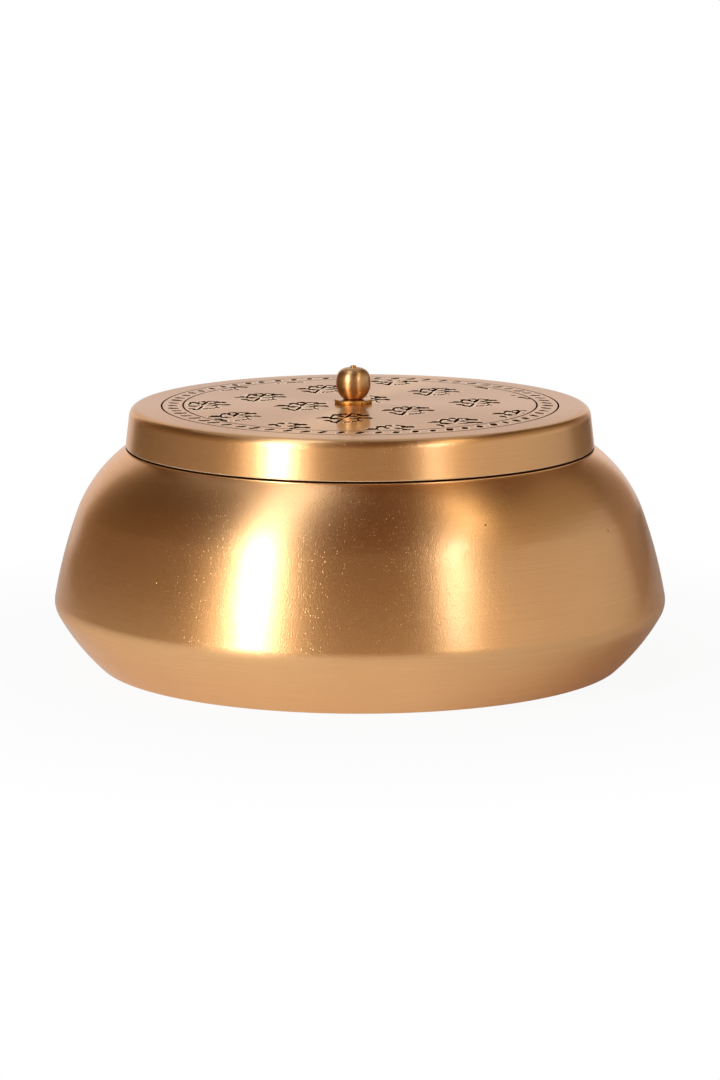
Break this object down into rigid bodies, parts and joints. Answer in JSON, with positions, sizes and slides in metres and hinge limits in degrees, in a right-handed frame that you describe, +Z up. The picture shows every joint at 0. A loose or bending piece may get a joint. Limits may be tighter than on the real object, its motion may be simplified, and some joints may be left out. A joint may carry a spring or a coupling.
{
  "type": "sweet box",
  "caption": "Round spun brass sweet box with a bulging body, a lift-off lid engraved with a sprig pattern and a small turned ball knob.",
  "frame": {"origin": "centre of the underside, on the surface that the box stands on", "axes": "+Z up through the lid, -Y towards the front as pictured, +X to the right"},
  "size_m": [0.2288, 0.2288, 0.1113],
  "materials": {
    "body_brass": "spun sheet brass, brushed round the axis and lacquered to a satin gloss",
    "lid_brass": "spun sheet brass, brushed and lacquered, with cut lines darkened by oxide",
    "knob_brass": "turned solid brass, polished and lacquered",
    "fitting_brass": "plain brass as formed or turned, slightly dull"
  },
  "bodies": {
    "box": {"lower_bowl": "body_brass", "upper_shell": "body_brass", "neck_collar": "fitting_brass"},
    "lid": {"lid_shell": "lid_brass", "rosette": "knob_brass", "knob_ball": "knob_brass", "backing_washer": "fitting_brass", "knob_screw": "fitting_brass"}
  },
  "joints": [
    {"name": "lid_lift", "type": "slide", "parent": "box", "child": "lid", "axis": [0, 0, 1], "range_m": [0, 0.12]}
  ]
}
